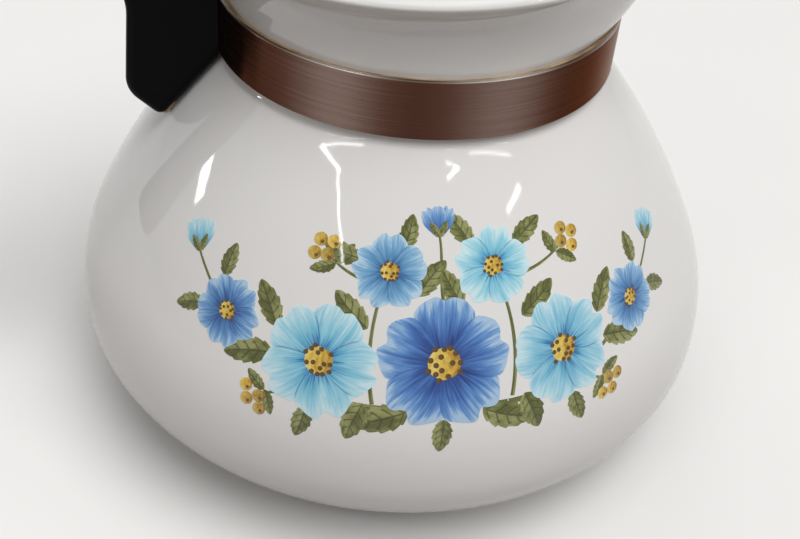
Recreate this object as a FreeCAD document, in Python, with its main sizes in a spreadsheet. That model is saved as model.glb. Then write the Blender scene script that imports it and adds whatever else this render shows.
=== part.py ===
"""Stove-top coffee pot: glazed vessel, steel neck band, side handle, lid and lift-out brewing set.

Frame: +Z up, origin at the middle of the vessel's flat base, handle towards -X, pouring lip towards +X.
Lengths are in millimetres and angles in degrees.
"""
import FreeCAD, Part
import math
import os
import re

import Sketcher
from FreeCAD import Placement, Rotation, Vector

SIZES = {
    # vessel
    "foot_inset": 25.0,
    "base_thickness": 5.5,
    "belly_radius": 85.0,
    "belly_height": 31.0,
    "crown_arc_radius": 50.0,
    "shoulder_arc_radius": 200.0,
    "vessel_wall": 4.5,
    "neck_radius": 46.9,
    "neck_bottom": 101.2,
    "neck_height": 17.0,
    "flare_reach": 6.9,
    "flare_height": 18.5,
    "lip_fullness": 0.55,
    "spout_overhang": 12.5,
    "spout_half_width": 23.0,
    "spout_tip_half_width": 7.0,
    "spout_foot_share": 0.55,
    "spout_waist_share": 0.8,
    "spout_fullness": 0.5,
    "spout_nose_ratio": 1.25,
    "spout_wall": 3.6,
    # neck band and its cushion
    "band_margin": 1.4,
    "band_thickness": 0.9,
    "band_edge_round": 0.3,
    "band_seam_angle": 3.0,
    "liner_thickness": 1.0,
    "liner_setback": 0.35,
    "seat_gap": 0.05,
    # handle and its fixing
    "handle_width": 22.0,
    "handle_inner_gap": 0.15,
    "handle_bore_overlap": 4.0,
    "handle_tip_drop": 18.3,
    "handle_foot_drop": 2.8,
    "handle_shoulder_gap": 1.0,
    "spine_step": 8.2,
    "spine_lean": 2.4,
    "heel_rise": 7.2,
    "arm_lift": 8.2,
    "arm_depth": 16.5,
    "arm_rise": 6.0,
    "finger_gap": 33.2,
    "grip_depth": 20.0,
    "grip_length": 63.0,
    "grip_lean": 6.0,
    "flare_clearance": 4.5,
    "finger_round": 13.0,
    "finger_round_share": 0.45,
    "arm_outer_round": 17.0,
    "handle_heel_round": 7.0,
    "handle_shoulder_round": 10.0,
    "handle_tip_round": 2.2,
    "grip_end_round": 8.0,
    "handle_edge_round": 2.4,
    "bracket_thickness": 1.2,
    "bracket_half_angle": 7.5,
    "bracket_margin": 1.6,
    "bracket_side_play": 1.0,
    "tongue_width": 8.0,
    "tongue_height": 8.0,
    "tongue_length": 9.0,
    "pocket_gap": 0.2,
    "screw_radius": 1.95,
    "screw_head_radius": 3.3,
    "screw_head_height": 2.4,
    "screw_slot_width": 1.0,
    "screw_slot_depth": 1.1,
    "screw_web": 4.0,
    "screw_bite": 7.5,
    "screw_hole_gap": 0.25,
    "counterbore_radius": 4.6,
    "washer_radius": 4.2,
    "washer_thickness": 0.8,
    "lock_washer_radius": 3.7,
    "lock_washer_thickness": 1.0,
    "lock_washer_split": 0.9,
    "rest_pad_width": 17.0,
    "rest_pad_start": 0.78,
    "rest_pad_end": 0.97,
    "rest_pad_gap": 0.1,
    # lid and its glass knob
    "lid_gap": 0.15,
    "lid_sink": 4.7,
    "lid_edge_thickness": 3.0,
    "lid_crown": 10.5,
    "lid_wall": 4.0,
    "lid_skirt_gap": 1.3,
    "lid_skirt_wall": 3.6,
    "lid_skirt_depth": 9.0,
    "lid_edge_round": 1.2,
    "lid_boss_radius": 19.0,
    "collar_radius": 17.5,
    "collar_height": 5.0,
    "collar_round": 1.6,
    "knob_neck_radius": 9.4,
    "knob_radius": 13.2,
    "knob_height": 21.0,
    "knob_wall": 2.0,
    "knob_hole_gap": 0.3,
    "knob_foot_round": 3.0,
    "knob_neck_tail": 1.5,
    "knob_nut_radius": 15.0,
    "knob_nut_height": 4.0,
    "knob_notch_width": 3.0,
    "knob_notch_depth": 1.8,
    "gasket_thickness": 1.2,
    # brewing set
    "stem_radius": 4.5,
    "stem_wall": 0.8,
    "stem_lid_gap": 1.8,
    "stem_tail": 5.0,
    "bell_neck_gap": 12.1,
    "bell_height": 13.0,
    "bell_wall": 1.0,
    "bell_foot_gap": 0.3,
    "bell_hub_radius": 13.0,
    "bell_port_radius": 1.2,
    "bell_port_circle": 8.6,
    "valve_inner_gap": 0.4,
    "valve_radius": 11.0,
    "valve_thickness": 0.8,
    "valve_lift": 2.5,
    "valve_stop_reach": 1.6,
    "valve_stop_height": 2.0,
    "stop_radius": 8.0,
    "stop_height": 4.0,
    "basket_bottom": 72.0,
    "basket_neck_gap": 6.1,
    "basket_height": 36.0,
    "basket_wall": 0.9,
    "basket_tube_gap": 0.6,
    "basket_tube_drop": 7.0,
    "basket_hole_radius": 1.1,
    "basket_ring_pitch": 7.0,
    "basket_first_ring": 13.0,
    "drill_margin": 1.0,
    "cover_lip_drop": 3.0,
    "cover_wall": 0.8,
    "cover_dish_depth": 3.5,
    "cover_gap": 0.3,
    "cover_rim_width": 5.0,
}
KNOB_NOTCHES = 6
BELL_PORTS = 6
BASKET_RING_COUNTS = (10, 16, 20)
COVER_RING_COUNTS = (8, 14)
HANDLE_TURN = Placement(Vector(0, 0, 0), Rotation(Vector(0, 0, 1), 180))

doc = FreeCAD.newDocument("coffee_pot")
sheet = doc.addObject("Spreadsheet::Sheet", "Sizes")
for row, (alias, number) in enumerate(SIZES.items(), start=1):
    sheet.set(f"A{row}", alias)
    sheet.set(f"B{row}", str(number))
    sheet.setAlias(f"B{row}", alias)
doc.recompute()
subparts = []
reading = doc.addObject("App::FeaturePython", "Reading")
reading.addProperty("App::PropertyFloat", "number")


def bound(text):
    """The expression with every size name pointing at its cell."""
    return re.sub(r"[a-z_]+", lambda m: "Sizes." + m[0] if m[0] in SIZES else m[0], text)


def value(text):
    """The number that an expression gives with the sheet's present sizes."""
    reading.setExpression("number", bound(text))
    reading.recompute()
    return reading.number


def new_body(label, placement=None):
    """An empty body for one sub-part, listed for the checks and the export at the end."""
    body = doc.addObject("PartDesign::Body", label)
    body.Label = label
    if placement:
        body.Placement = placement
    subparts.append(body)
    return body


def new_sketch(body, role="XZ_Plane", **offset):
    """A sketch on one of the body's origin planes, moved in its own axes by the given expressions."""
    sketch = body.newObject("Sketcher::SketchObject", "outline")
    plane = next(f for f in body.Origin.OriginFeatures if f.Role == role)
    sketch.AttachmentSupport = [(plane, "")]
    sketch.MapMode = "FlatFace"
    for axis, text in offset.items():
        sketch.setExpression(f"AttachmentOffset.Base.{axis}", bound(text))
    return sketch


def constrain(sketch, text, *arguments):
    """Adds a dimension that follows the sheet."""
    index = sketch.addConstraint(Sketcher.Constraint(*arguments, value(text)))
    sketch.setExpression(f"Constraints[{index}]", bound(text))


def pin_vertex(sketch, edge, end, across, along):
    """Holds a vertex at two sheet expressions, or on an axis where one of them is nought."""
    for text, kind, axis in ((across, "DistanceX", -2), (along, "DistanceY", -1)):
        if text == "0":
            sketch.addConstraint(Sketcher.Constraint("PointOnObject", edge, end, axis))
        else:
            constrain(sketch, text, kind, -1, 1, edge, end)


def arc_between(start, end, radius, turn):
    """The short arc from start to end: turn is 1 for anticlockwise and -1 for clockwise."""
    chord = end - start
    middle = (start + end) * 0.5
    side = Vector(-chord.y, chord.x, 0).normalize() * turn
    centre = middle + side * math.sqrt(max(radius**2 - (chord.Length / 2) ** 2, 0.0))
    first, last = (start, end) if turn > 0 else (end, start)
    angles = [math.atan2(p.y - centre.y, p.x - centre.x) for p in (first, last)]
    return Part.ArcOfCircle(Part.Circle(centre, Vector(0, 0, 1), radius), *angles)


def draw_outline(sketch, corners):
    """A closed outline of (across, along) corners; a third entry bends the edge to the next one."""
    places = [Vector(value(c[0]), value(c[1]), 0) for c in corners]
    ends = []
    for i, corner in enumerate(corners):
        start, end = places[i], places[(i + 1) % len(corners)]
        if len(corner) == 2:
            ends.append((sketch.addGeometry(Part.LineSegment(start, end), False), 1, 2))
        else:
            radius, turn = corner[2]
            edge = sketch.addGeometry(arc_between(start, end, value(radius), turn), False)
            ends.append((edge, 1, 2) if turn > 0 else (edge, 2, 1))
    for i, corner in enumerate(corners):
        before, here = ends[i - 1], ends[i]
        sketch.addConstraint(Sketcher.Constraint("Coincident", before[0], before[2], here[0], here[1]))
        pin_vertex(sketch, here[0], here[1], corner[0], corner[1])
    for corner, edge in zip(corners, ends):
        if len(corner) > 2:
            constrain(sketch, corner[2][0], "Radius", edge[0])
    doc.recompute()
    return sketch


def draw_circle(sketch, across, along, radius):
    """A circle held at its centre and radius by the sheet."""
    centre = Vector(value(across), value(along), 0)
    edge = sketch.addGeometry(Part.Circle(centre, Vector(0, 0, 1), value(radius)), False)
    pin_vertex(sketch, edge, 3, across, along)
    constrain(sketch, radius, "Radius", edge)
    doc.recompute()
    return sketch


def add_feature(body, kind, profile, **settings):
    """A sketch-based feature: text settings follow the sheet, the others are set as they are."""
    feature = body.newObject("PartDesign::" + kind, kind)
    feature.Profile = profile
    profile.Visibility = False
    for name, setting in settings.items():
        if isinstance(setting, str) and name not in ("Type", "SideType"):
            feature.setExpression(name, bound(setting))
        else:
            setattr(feature, name, setting)
    doc.recompute()
    return feature


def turned(body, corners, kind="Revolution", axis="V_Axis", angle="360", midplane=False, **offset):
    """A revolution, or a groove, of an outline about an axis of its sketch."""
    sketch = draw_outline(new_sketch(body, **offset), corners)
    add_feature(body, kind, sketch, ReferenceAxis=(sketch, [axis]), Angle=angle, Midplane=midplane)


def add_fillet(body, edges, radius):
    """Rounds the named edges or faces of the body's last feature."""
    fillet = body.newObject("PartDesign::Fillet", "Fillet")
    fillet.Base = (fillet.BaseFeature, edges)
    fillet.setExpression("Radius", bound(radius))
    doc.recompute()


def edges_where(body, test):
    """Names of the edges of the body's tip that pass a test on their shape."""
    return [f"Edge{i}" for i, edge in enumerate(body.Tip.Shape.Edges, start=1) if test(edge)]


def faces_where(body, test):
    """Names of the faces of the body's tip that pass a test on their shape."""
    return [f"Face{i}" for i, face in enumerate(body.Tip.Shape.Faces, start=1) if test(face)]


# Heights and radii that several pieces share.
BASE_RADIUS = "(belly_radius - foot_inset)"
NECK_TOP = "(neck_bottom + neck_height)"
RIM_RADIUS = "(neck_radius + flare_reach)"
RIM_HEIGHT = f"({NECK_TOP} + flare_height)"
SPOUT_TIP = f"({RIM_RADIUS} + spout_overhang)"
BAND_BOTTOM = "(neck_bottom + band_margin)"
BAND_TOP = f"({NECK_TOP} - band_margin)"
BAND_MIDDLE = "(neck_bottom + neck_height / 2)"
NECK_INNER = "(neck_radius - vessel_wall)"
BAND_INNER = "(neck_radius + liner_thickness + 2 * seat_gap)"
BAND_OUTER = "(neck_radius + liner_thickness + 2 * seat_gap + band_thickness)"

# Vessel curves. The belly and shoulder are three arcs that meet in tangency: one rises from the base to
# the belly, a tight one crowns the belly, and a long one runs up the shoulder to the neck.
FOOT_ARC = "((foot_inset^2 + belly_height^2) / (2 * foot_inset))"
FOOT_CENTRE = f"(belly_radius - {FOOT_ARC})"
CROWN_CENTRE = "(belly_radius - crown_arc_radius)"
ARC_STEP = "(shoulder_arc_radius - crown_arc_radius)"
TO_NECK = (f"(neck_radius - {CROWN_CENTRE})", "(neck_bottom - belly_height)")
TO_NECK_SQUARE = f"({TO_NECK[0]}^2 + {TO_NECK[1]}^2)"
BREAK_ANGLE = (
    f"(atan2({TO_NECK[1]}; {TO_NECK[0]}) - acos((shoulder_arc_radius^2 - {ARC_STEP}^2"
    f" - {TO_NECK_SQUARE}) / (2 * {ARC_STEP} * sqrt({TO_NECK_SQUARE}))))"
)
SHOULDER_CENTRE = (
    f"({CROWN_CENTRE} - {ARC_STEP} * cos({BREAK_ANGLE}))",
    f"(belly_height - {ARC_STEP} * sin({BREAK_ANGLE}))",
)
# The flare above the neck is one arc, upright where it leaves the neck.
FLARE_ARC = "((flare_reach^2 + flare_height^2) / (2 * flare_reach))"
FLARE_CENTRE = f"(neck_radius + {FLARE_ARC})"
FLARE_INNER_ARC = f"({FLARE_ARC} + vessel_wall)"
RIM_INNER = f"({FLARE_CENTRE} - sqrt({FLARE_INNER_ARC}^2 - flare_height^2))"
LIP_WIDTH = f"({RIM_RADIUS} - {RIM_INNER})"
LIP_ARC = f"(lip_fullness * {LIP_WIDTH})"
LIP_CREST = f"({RIM_HEIGHT} + {LIP_ARC} - sqrt({LIP_ARC}^2 - {LIP_WIDTH}^2 / 4))"


def shoulder_radius_at(height):
    """Radius of the vessel's outside on the shoulder arc at a height."""
    across, along = SHOULDER_CENTRE
    return f"({across} + sqrt(shoulder_arc_radius^2 - ({height} - {along})^2))"


def break_point(inset):
    """Where the crown arc meets the shoulder arc, on the outside or inset by a wall."""
    radius = f"(crown_arc_radius - {inset})"
    return (
        f"{CROWN_CENTRE} + {radius} * cos({BREAK_ANGLE})",
        f"belly_height + {radius} * sin({BREAK_ANGLE})",
    )


def make_vessel():
    """The glazed vessel: one turned wall, a pouring beak lofted onto the flare, and a rounded lip."""
    body = new_body("vessel")
    across, along = SHOULDER_CENTRE
    inner_arc = "(shoulder_arc_radius - vessel_wall)"
    inner_neck_bottom = f"{along} + sqrt({inner_arc}^2 - ({NECK_INNER} - {across})^2)"
    inner_foot_arc = f"({FOOT_ARC} - vessel_wall)"
    inner_floor = f"{FOOT_CENTRE} + sqrt({inner_foot_arc}^2 - (belly_height - base_thickness)^2)"
    turned(
        body,
        [
            ("0", "0"),
            (BASE_RADIUS, "0", (FOOT_ARC, 1)),
            ("belly_radius", "belly_height", ("crown_arc_radius", 1)),
            (*break_point("0"), ("shoulder_arc_radius", 1)),
            ("neck_radius", "neck_bottom"),
            ("neck_radius", NECK_TOP, (FLARE_ARC, -1)),
            (RIM_RADIUS, RIM_HEIGHT, (LIP_ARC, 1)),
            (RIM_INNER, RIM_HEIGHT, (FLARE_INNER_ARC, 1)),
            (NECK_INNER, NECK_TOP),
            (NECK_INNER, inner_neck_bottom, (inner_arc, -1)),
            (*break_point("vessel_wall"), ("crown_arc_radius - vessel_wall", -1)),
            ("belly_radius - vessel_wall", "belly_height", (inner_foot_arc, -1)),
            (inner_floor, "base_thickness"),
            ("0", "base_thickness"),
        ],
    )
    beak_root = [
        "(neck_radius - vessel_wall / 2)",
        f"({FLARE_CENTRE} - sqrt(({FLARE_ARC} + vessel_wall / 2)^2 - (({LIP_CREST} - {NECK_TOP}) / 2)^2))",
        f"(({RIM_RADIUS} + {RIM_INNER}) / 2)",
    ]
    add_beak(body, "AdditiveLoft", "0", LIP_CREST, beak_root)
    channel_root = [f"({NECK_INNER} - vessel_wall)"] * len(beak_root)
    add_beak(body, "SubtractiveLoft", "spout_wall", f"({LIP_CREST} + spout_wall / 2)", channel_root)


def add_beak(body, kind, inset, top, roots):
    """Lofts the pouring beak, or its channel inset by a wall, from the neck's top up to a height.

    Each section runs from an arc about the vessel's axis, of one of the root radii, out to a round nose.
    """
    reach = f"({SPOUT_TIP} - neck_radius)"
    foot = f"({NECK_TOP} + {inset} / 2)"
    waist = f"neck_radius + {reach} * spout_fullness"
    stations = [
        (foot, "neck_radius", "spout_half_width * spout_foot_share"),
        (f"({foot} + {top}) / 2", waist, "spout_half_width * spout_waist_share"),
        (top, SPOUT_TIP, "spout_half_width"),
    ]
    sketches = []
    for (height, tip, half_width), root in zip(stations, roots):
        tip_half = f"(spout_tip_half_width - {inset} / 2)"
        wide = f"({half_width} - {inset})"
        side = f"sqrt({root}^2 - {wide}^2)"
        end = f"({tip} - {inset} - {tip_half} / 2)"
        corners = [
            (side, f"-{wide}"),
            (end, f"-{tip_half}", (f"{tip_half} * spout_nose_ratio", 1)),
            (end, tip_half),
            (side, wide, (root, -1)),
        ]
        sketches.append(draw_outline(new_sketch(body, "XY_Plane", z=height), corners))
    add_feature(body, kind, sketches[0], Sections=sketches[1:], Ruled=False)


def make_liner():
    """The tan cushion strip between the vessel's neck and the steel band."""
    body = new_body("band_liner")
    inner = "(neck_radius + seat_gap)"
    outer = "(neck_radius + seat_gap + liner_thickness)"
    bottom = f"{BAND_BOTTOM} + liner_setback"
    top = f"{BAND_TOP} - liner_setback"
    turned(body, [(inner, bottom), (outer, bottom), (outer, top), (inner, top)])


def make_band():
    """The steel strap round the neck, with its seam under the handle."""
    seam = Rotation(Vector(0, 0, 1), 180 + value("band_seam_angle") / 2)
    body = new_body("neck_band", Placement(Vector(0, 0, 0), seam))
    strap = [
        (BAND_INNER, BAND_BOTTOM),
        (BAND_OUTER, BAND_BOTTOM),
        (BAND_OUTER, BAND_TOP),
        (BAND_INNER, BAND_TOP),
    ]
    turned(body, strap, angle="360 - band_seam_angle")
    reach = value(BAND_OUTER)

    def is_outer_rim(edge):
        """An outer edge that runs right round the strap."""
        rounds = getattr(edge.Curve, "Radius", 0)
        return abs(rounds - reach) < 1e-6

    add_fillet(body, edges_where(body, is_outer_rim), "band_edge_round")


# The handle's outline: its tip stands off the shoulder, and its spine, finger gap and grip follow the tip.
TIP_HEIGHT = f"({BAND_BOTTOM} - handle_tip_drop)"
TIP_RADIUS = f"({shoulder_radius_at(TIP_HEIGHT)} + handle_shoulder_gap)"
TIP_REACH = f"({TIP_RADIUS} - {BAND_OUTER})"
FOOT_HEIGHT = f"({BAND_BOTTOM} - handle_foot_drop)"
EDGE_FALL = f"({FOOT_HEIGHT} - {TIP_HEIGHT})"
SPINE = f"({TIP_RADIUS} + spine_step)"
ARM_UNDERSIDE = f"({BAND_TOP} + arm_lift)"
GRIP_INNER = f"({SPINE} + finger_gap)"
GRIP_BOTTOM = f"({ARM_UNDERSIDE} - grip_length)"
FINGER_ROUND = "min(finger_round; finger_gap * finger_round_share)"
# Places along the handle's fixing, outwards from the band.
BRACKET_INNER = f"({BAND_OUTER} + seat_gap)"
BRACKET_OUTER = f"({BRACKET_INNER} + bracket_thickness)"
TONGUE_END = f"({BRACKET_OUTER} + tongue_length)"
WEB_INNER = f"({TONGUE_END} + pocket_gap)"
WEB_OUTER = f"({WEB_INNER} + screw_web)"
WASHER_SEAT = f"({WEB_OUTER} + seat_gap)"
LOCK_SEAT = f"({WASHER_SEAT} + washer_thickness + seat_gap)"
HEAD_SEAT = f"({LOCK_SEAT} + lock_washer_thickness + seat_gap)"


def make_bracket():
    """The steel bracket that is spot-welded to the band: a curved foot and a tapped tongue."""
    body = new_body("handle_bracket", HANDLE_TURN)
    low = f"{BAND_BOTTOM} + bracket_margin"
    high = f"{BAND_TOP} - bracket_margin"
    turned(
        body,
        [(BRACKET_INNER, low), (BRACKET_OUTER, low), (BRACKET_OUTER, high), (BRACKET_INNER, high)],
        angle="2 * bracket_half_angle",
        midplane=True,
    )
    tongue = draw_outline(
        new_sketch(body, "XZ_Plane", y=BAND_MIDDLE),
        [
            (f"{BRACKET_OUTER} - bracket_thickness / 2", "-tongue_height / 2"),
            (TONGUE_END, "-tongue_height / 2"),
            (TONGUE_END, "tongue_height / 2"),
            (f"{BRACKET_OUTER} - bracket_thickness / 2", "tongue_height / 2"),
        ],
    )
    add_feature(body, "Pad", tongue, Length="tongue_width", SideType="Symmetric")
    hole = "(screw_radius + seat_gap)"
    start = f"{TONGUE_END} - screw_bite - seat_gap"
    end = f"{TONGUE_END} + seat_gap"
    turned(body, [(start, "0"), (end, "0"), (end, hole), (start, hole)], "Groove", "H_Axis", y=BAND_MIDDLE)


def make_handle():
    """The black moulded handle: a block on the band, an arm over the fingers and a hanging grip."""
    body = new_body("handle", HANDLE_TURN)
    overlap = "(handle_inner_gap + handle_bore_overlap)"
    slope = f"({EDGE_FALL} / {TIP_REACH})"
    arm_top = f"({ARM_UNDERSIDE} + arm_depth)"
    corners = {
        "inner_foot": (f"{BAND_OUTER} - {overlap}", f"{FOOT_HEIGHT} + {overlap} * {slope}"),
        "tip": (TIP_RADIUS, TIP_HEIGHT),
        "heel": (SPINE, f"{TIP_HEIGHT} + heel_rise"),
        "spine_top": (f"{SPINE} - spine_lean", ARM_UNDERSIDE),
        "grip_top": (GRIP_INNER, ARM_UNDERSIDE),
        "grip_end_inner": (f"{GRIP_INNER} + grip_lean", GRIP_BOTTOM),
        "grip_end_outer": (f"{GRIP_INNER} + grip_lean + grip_depth", GRIP_BOTTOM),
        "arm_outer": (f"{GRIP_INNER} + grip_depth", f"{arm_top} + arm_rise"),
        "arm_inner": (f"{RIM_RADIUS} + flare_clearance", arm_top),
        "band_top": (f"{BAND_OUTER} - {overlap}", BAND_TOP),
    }
    sketch = draw_outline(new_sketch(body), list(corners.values()))
    add_feature(body, "Pad", sketch, Length="handle_width", SideType="Symmetric")
    rounds = {
        FINGER_ROUND: ("spine_top", "grip_top"),
        "arm_outer_round": ("arm_outer",),
        "handle_shoulder_round": ("arm_inner",),
        "handle_heel_round": ("heel",),
        "grip_end_round": ("grip_end_inner", "grip_end_outer"),
        "handle_tip_round": ("tip",),
    }
    for radius, names in rounds.items():
        places = [(value(corners[n][0]), value(corners[n][1])) for n in names]

        def at_corner(edge):
            """An upright edge of the block at one of the corners to be rounded."""
            return any(all(math.hypot(v.X - x, v.Z - z) < 1e-4 for v in edge.Vertexes) for x, z in places)

        add_fillet(body, edges_where(body, at_corner), radius)
    sides = faces_where(body, lambda f: abs(abs(f.CenterOfMass.y) - value("handle_width") / 2) < 1e-4)
    add_fillet(body, sides, "handle_edge_round")
    bore = draw_circle(new_sketch(body, "XY_Plane"), "0", "0", f"{BAND_OUTER} + handle_inner_gap")
    add_feature(body, "Pocket", bore, Type="ThroughAll", SideType="Symmetric")
    cut_handle_pockets(body)


def cut_handle_pockets(body):
    """Room in the handle for the bracket's foot and tongue, and for the screw and its head."""
    low = f"{BAND_BOTTOM} + bracket_margin - pocket_gap"
    high = f"{BAND_TOP} - bracket_margin + pocket_gap"
    outer = f"{BRACKET_OUTER} + pocket_gap"
    turned(
        body,
        [("neck_radius", low), (outer, low), (outer, high), ("neck_radius", high)],
        "Groove",
        angle="2 * bracket_half_angle + 2 * bracket_side_play",
        midplane=True,
    )
    half = "(tongue_height / 2 + pocket_gap)"
    room = draw_outline(
        new_sketch(body, "XZ_Plane", y=BAND_MIDDLE),
        [("neck_radius", f"-{half}"), (WEB_INNER, f"-{half}"), (WEB_INNER, half), ("neck_radius", half)],
    )
    add_feature(body, "Pocket", room, Length="tongue_width + 2 * pocket_gap", SideType="Symmetric")
    hole = "(screw_radius + screw_hole_gap)"
    outside = f"{SPINE} + counterbore_radius"
    turned(
        body,
        [
            (f"{TONGUE_END} - seat_gap", "0"),
            (outside, "0"),
            (outside, "counterbore_radius"),
            (WEB_OUTER, "counterbore_radius"),
            (WEB_OUTER, hole),
            (f"{TONGUE_END} - seat_gap", hole),
        ],
        "Groove",
        "H_Axis",
        y=BAND_MIDDLE,
    )


def make_screw():
    """The slotted screw that draws the handle onto the bracket's tongue."""
    body = new_body("handle_screw", HANDLE_TURN)
    point = f"{TONGUE_END} - screw_bite"
    top = f"{HEAD_SEAT} + screw_head_height"
    turned(
        body,
        [
            (point, "0"),
            (top, "0"),
            (top, "screw_head_radius"),
            (HEAD_SEAT, "screw_head_radius"),
            (HEAD_SEAT, "screw_radius"),
            (point, "screw_radius"),
        ],
        axis="H_Axis",
        y=BAND_MIDDLE,
    )
    depth = f"{top} - screw_slot_depth"
    beyond = f"{top} + screw_slot_depth"
    half = "screw_slot_width / 2"
    slot = draw_outline(
        new_sketch(body, y=BAND_MIDDLE),
        [(depth, f"-{half}"), (beyond, f"-{half}"), (beyond, half), (depth, half)],
    )
    add_feature(body, "Pocket", slot, Length="2 * (screw_head_radius + drill_margin)", SideType="Symmetric")


def make_washers():
    """A flat washer and a split lock washer under the screw's head."""
    hole = "(screw_radius + screw_hole_gap)"
    flat = new_body("handle_washer", HANDLE_TURN)
    end = f"{WASHER_SEAT} + washer_thickness"
    ring = [(WASHER_SEAT, hole), (end, hole), (end, "washer_radius"), (WASHER_SEAT, "washer_radius")]
    turned(flat, ring, axis="H_Axis", y=BAND_MIDDLE)
    lock = new_body("lock_washer", HANDLE_TURN)
    end = f"{LOCK_SEAT} + lock_washer_thickness"
    ring = [(LOCK_SEAT, hole), (end, hole), (end, "lock_washer_radius"), (LOCK_SEAT, "lock_washer_radius")]
    split = "360 - lock_washer_split * 180 / (pi * lock_washer_radius)"
    turned(lock, ring, axis="H_Axis", angle=split, y=BAND_MIDDLE)


def make_rest_pad():
    """The tan pad under the handle's tip, which bears on the vessel's shoulder."""
    body = new_body("handle_rest_pad", HANDLE_TURN)

    def on_edge(share):
        """A point of the handle's sloping lower edge."""
        return f"({BAND_OUTER} + {TIP_REACH} * {share})", f"({FOOT_HEIGHT} - {EDGE_FALL} * {share})"

    def on_vessel(share):
        """The point of the shoulder level with it, short of the glaze by the pad's gap."""
        height = on_edge(share)[1]
        return f"({shoulder_radius_at(height)} + rest_pad_gap)", height

    sketch = draw_outline(
        new_sketch(body),
        [
            on_vessel("rest_pad_start"),
            on_vessel("rest_pad_end"),
            on_edge("rest_pad_end"),
            on_edge("rest_pad_start"),
        ],
    )
    add_feature(body, "Pad", sketch, Length="rest_pad_width", SideType="Symmetric")


# The lid's seat in the flare, and the heights of its stack upwards from there.
LID_SEAT = f"({RIM_HEIGHT} - lid_sink)"
LID_RADIUS = f"({FLARE_CENTRE} - sqrt({FLARE_INNER_ARC}^2 - (flare_height - lid_sink)^2) - lid_gap)"
SKIRT_RADIUS = f"({NECK_INNER} - lid_skirt_gap)"
LID_SHOULDER = f"({LID_SEAT} + lid_edge_thickness)"
LID_TOP = f"({LID_SHOULDER} + lid_crown)"
LID_CEILING = f"({LID_TOP} - lid_wall)"
GASKET_SEAT = f"({LID_TOP} + seat_gap)"
COLLAR_SEAT = f"({GASKET_SEAT} + gasket_thickness + seat_gap)"
KNOB_SEAT = f"({COLLAR_SEAT} + collar_height + seat_gap)"
KNOB_HOLE = "(knob_neck_radius + knob_hole_gap)"


def dome_arc(run, rise):
    """Radius of an arc that leaves level and falls by a rise over a run."""
    return f"((({run})^2 + ({rise})^2) / (2 * ({rise})))"


def make_lid():
    """The glazed lid: a domed top with a flat seat for the knob and a skirt that centres it in the neck."""
    body = new_body("lid")
    skirt_inner = f"({SKIRT_RADIUS} - lid_skirt_wall)"
    skirt_foot = f"{LID_SEAT} - lid_skirt_depth"
    outer_arc = dome_arc(f"{LID_RADIUS} - lid_boss_radius", "lid_crown")
    inner_arc = dome_arc(f"{skirt_inner} - lid_boss_radius", f"{LID_CEILING} - {LID_SEAT}")
    turned(
        body,
        [
            (KNOB_HOLE, LID_CEILING),
            ("lid_boss_radius", LID_CEILING, (inner_arc, -1)),
            (skirt_inner, LID_SEAT),
            (skirt_inner, skirt_foot),
            (SKIRT_RADIUS, skirt_foot),
            (SKIRT_RADIUS, LID_SEAT),
            (LID_RADIUS, LID_SEAT),
            (LID_RADIUS, LID_SHOULDER, (outer_arc, 1)),
            ("lid_boss_radius", LID_TOP),
            (KNOB_HOLE, LID_TOP),
        ],
    )
    rim = value(LID_RADIUS)
    rim_edges = edges_where(body, lambda e: abs(getattr(e.Curve, "Radius", 0) - rim) < 1e-6)
    add_fillet(body, rim_edges, "lid_edge_round")


def make_knob():
    """The clear glass knob: a hollow bulb over a neck that goes down through the lid."""
    body = new_body("glass_knob")
    bore = "(knob_neck_radius - knob_wall)"
    hollow = "(knob_radius - knob_wall)"
    neck_foot = f"{LID_CEILING} - knob_nut_height - knob_neck_tail"
    dome_foot = f"{KNOB_SEAT} + knob_height - knob_radius"
    top = f"{KNOB_SEAT} + knob_height"
    turned(
        body,
        [
            (bore, neck_foot),
            ("knob_neck_radius", neck_foot),
            ("knob_neck_radius", KNOB_SEAT),
            ("knob_radius - knob_foot_round", KNOB_SEAT, ("knob_foot_round", 1)),
            ("knob_radius", f"{KNOB_SEAT} + knob_foot_round"),
            ("knob_radius", dome_foot, ("knob_radius", 1)),
            ("0", top),
            ("0", f"{top} - knob_wall", (hollow, -1)),
            (hollow, dome_foot),
            (hollow, f"{KNOB_SEAT} + knob_wall + knob_foot_round"),
            (bore, f"{KNOB_SEAT} + knob_wall"),
        ],
    )


def make_knob_fixing():
    """The gasket and black collar under the knob, and the notched nut that holds its neck below the lid."""
    for label, seat, height, outer in (
        ("knob_gasket", GASKET_SEAT, "gasket_thickness", "collar_radius - collar_round"),
        ("knob_collar", COLLAR_SEAT, "collar_height", "collar_radius"),
    ):
        body = new_body(label)
        top = f"{seat} + {height}"
        turned(body, [(KNOB_HOLE, seat), (outer, seat), (outer, top), (KNOB_HOLE, top)])
    crown = value(top)
    round_it = value("6 * collar_radius")
    upper_rim = edges_where(body, lambda e: e.BoundBox.ZMin > crown - 1e-6 and e.Length > round_it)
    add_fillet(body, upper_rim, "collar_round")
    nut = new_body("knob_nut")
    low = f"{LID_CEILING} - seat_gap - knob_nut_height"
    high = f"{LID_CEILING} - seat_gap"
    thread = "knob_neck_radius + seat_gap"
    turned(nut, [(thread, low), ("knob_nut_radius", low), ("knob_nut_radius", high), (thread, high)])
    notch = draw_outline(
        new_sketch(nut, "XY_Plane", z=low),
        [
            ("knob_nut_radius - knob_notch_depth", "-knob_notch_width / 2"),
            ("knob_nut_radius + knob_notch_depth", "-knob_notch_width / 2"),
            ("knob_nut_radius + knob_notch_depth", "knob_notch_width / 2"),
            ("knob_nut_radius - knob_notch_depth", "knob_notch_width / 2"),
        ],
    )
    cut = add_feature(nut, "Pocket", notch, Length="knob_nut_height", Reversed=True)
    repeat_round(nut, cut, KNOB_NOTCHES)


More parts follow.
